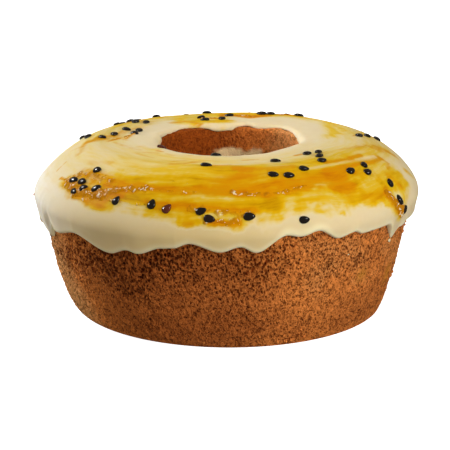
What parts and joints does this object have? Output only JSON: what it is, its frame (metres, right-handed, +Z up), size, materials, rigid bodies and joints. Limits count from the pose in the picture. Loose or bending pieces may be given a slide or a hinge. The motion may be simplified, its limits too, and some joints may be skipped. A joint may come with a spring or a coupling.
{
  "type": "chiffon cake",
  "caption": "Whole ring-shaped sponge cake with a flaring browned side, cream icing over its top in a wavy hem, brushed fruit syrup and dark fruit seeds.",
  "frame": {"origin": "middle of the flat base, on the surface that the cake stands on", "axes": "+Z up along the ring's axis; the side that the picture shows faces -Y, and its right is +X"},
  "size_m": [0.1988, 0.199, 0.0884],
  "materials": {
    "sponge_crust": "dry browned crust with fine pores",
    "cream_icing": "smooth cream icing, satin to glossy",
    "fruit_syrup": "wet yellow to amber syrup",
    "fruit_seeds": "glossy black"
  },
  "bodies": {
    "root": {"sponge": "sponge_crust", "icing": "cream_icing"}
  },
  "joints": []
}
